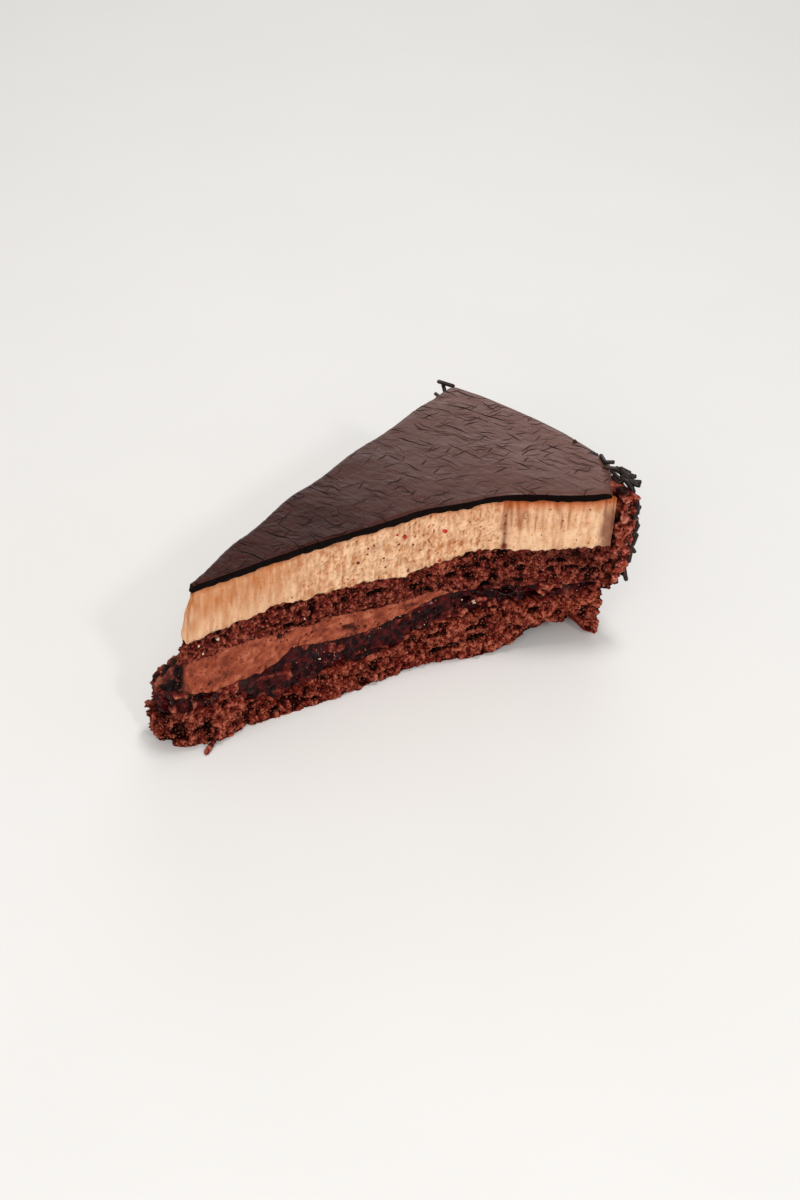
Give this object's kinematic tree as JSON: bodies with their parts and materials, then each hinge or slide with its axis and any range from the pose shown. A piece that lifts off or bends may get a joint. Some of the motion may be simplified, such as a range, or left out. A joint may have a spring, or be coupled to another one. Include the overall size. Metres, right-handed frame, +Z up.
{
  "type": "chocolate mousse cake slice",
  "caption": "Slice of layered chocolate mousse cake with a coffee cream layer, a dark chocolate glaze and sprinkles on its rim.",
  "frame": {"origin": "centre of the bounding box on the underside, where the slice stands", "axes": "+X from the tip to the rim, +Z up, and the cut face that the picture shows looks towards -Y"},
  "size_m": [0.1309, 0.0724, 0.0505],
  "materials": {
    "bottom_sponge": "open chocolate sponge crumb, matt",
    "cherry_filling": "wet dark ganache with fruit",
    "chocolate_mousse": "cut mousse, fine pores",
    "upper_sponge": "open chocolate sponge crumb, matt",
    "cream_mousse": "knife-drawn coffee cream, satin",
    "glaze": "set chocolate glaze, satin, finely creased",
    "rim_coat": "crumbly chocolate cream with sprinkles"
  },
  "bodies": {
    "root": {"bottom_sponge": "bottom_sponge", "cherry_filling": "cherry_filling", "chocolate_mousse": "chocolate_mousse", "upper_sponge": "upper_sponge", "cream_mousse": "cream_mousse", "glaze": "glaze", "rim_coat": "rim_coat"}
  },
  "joints": []
}
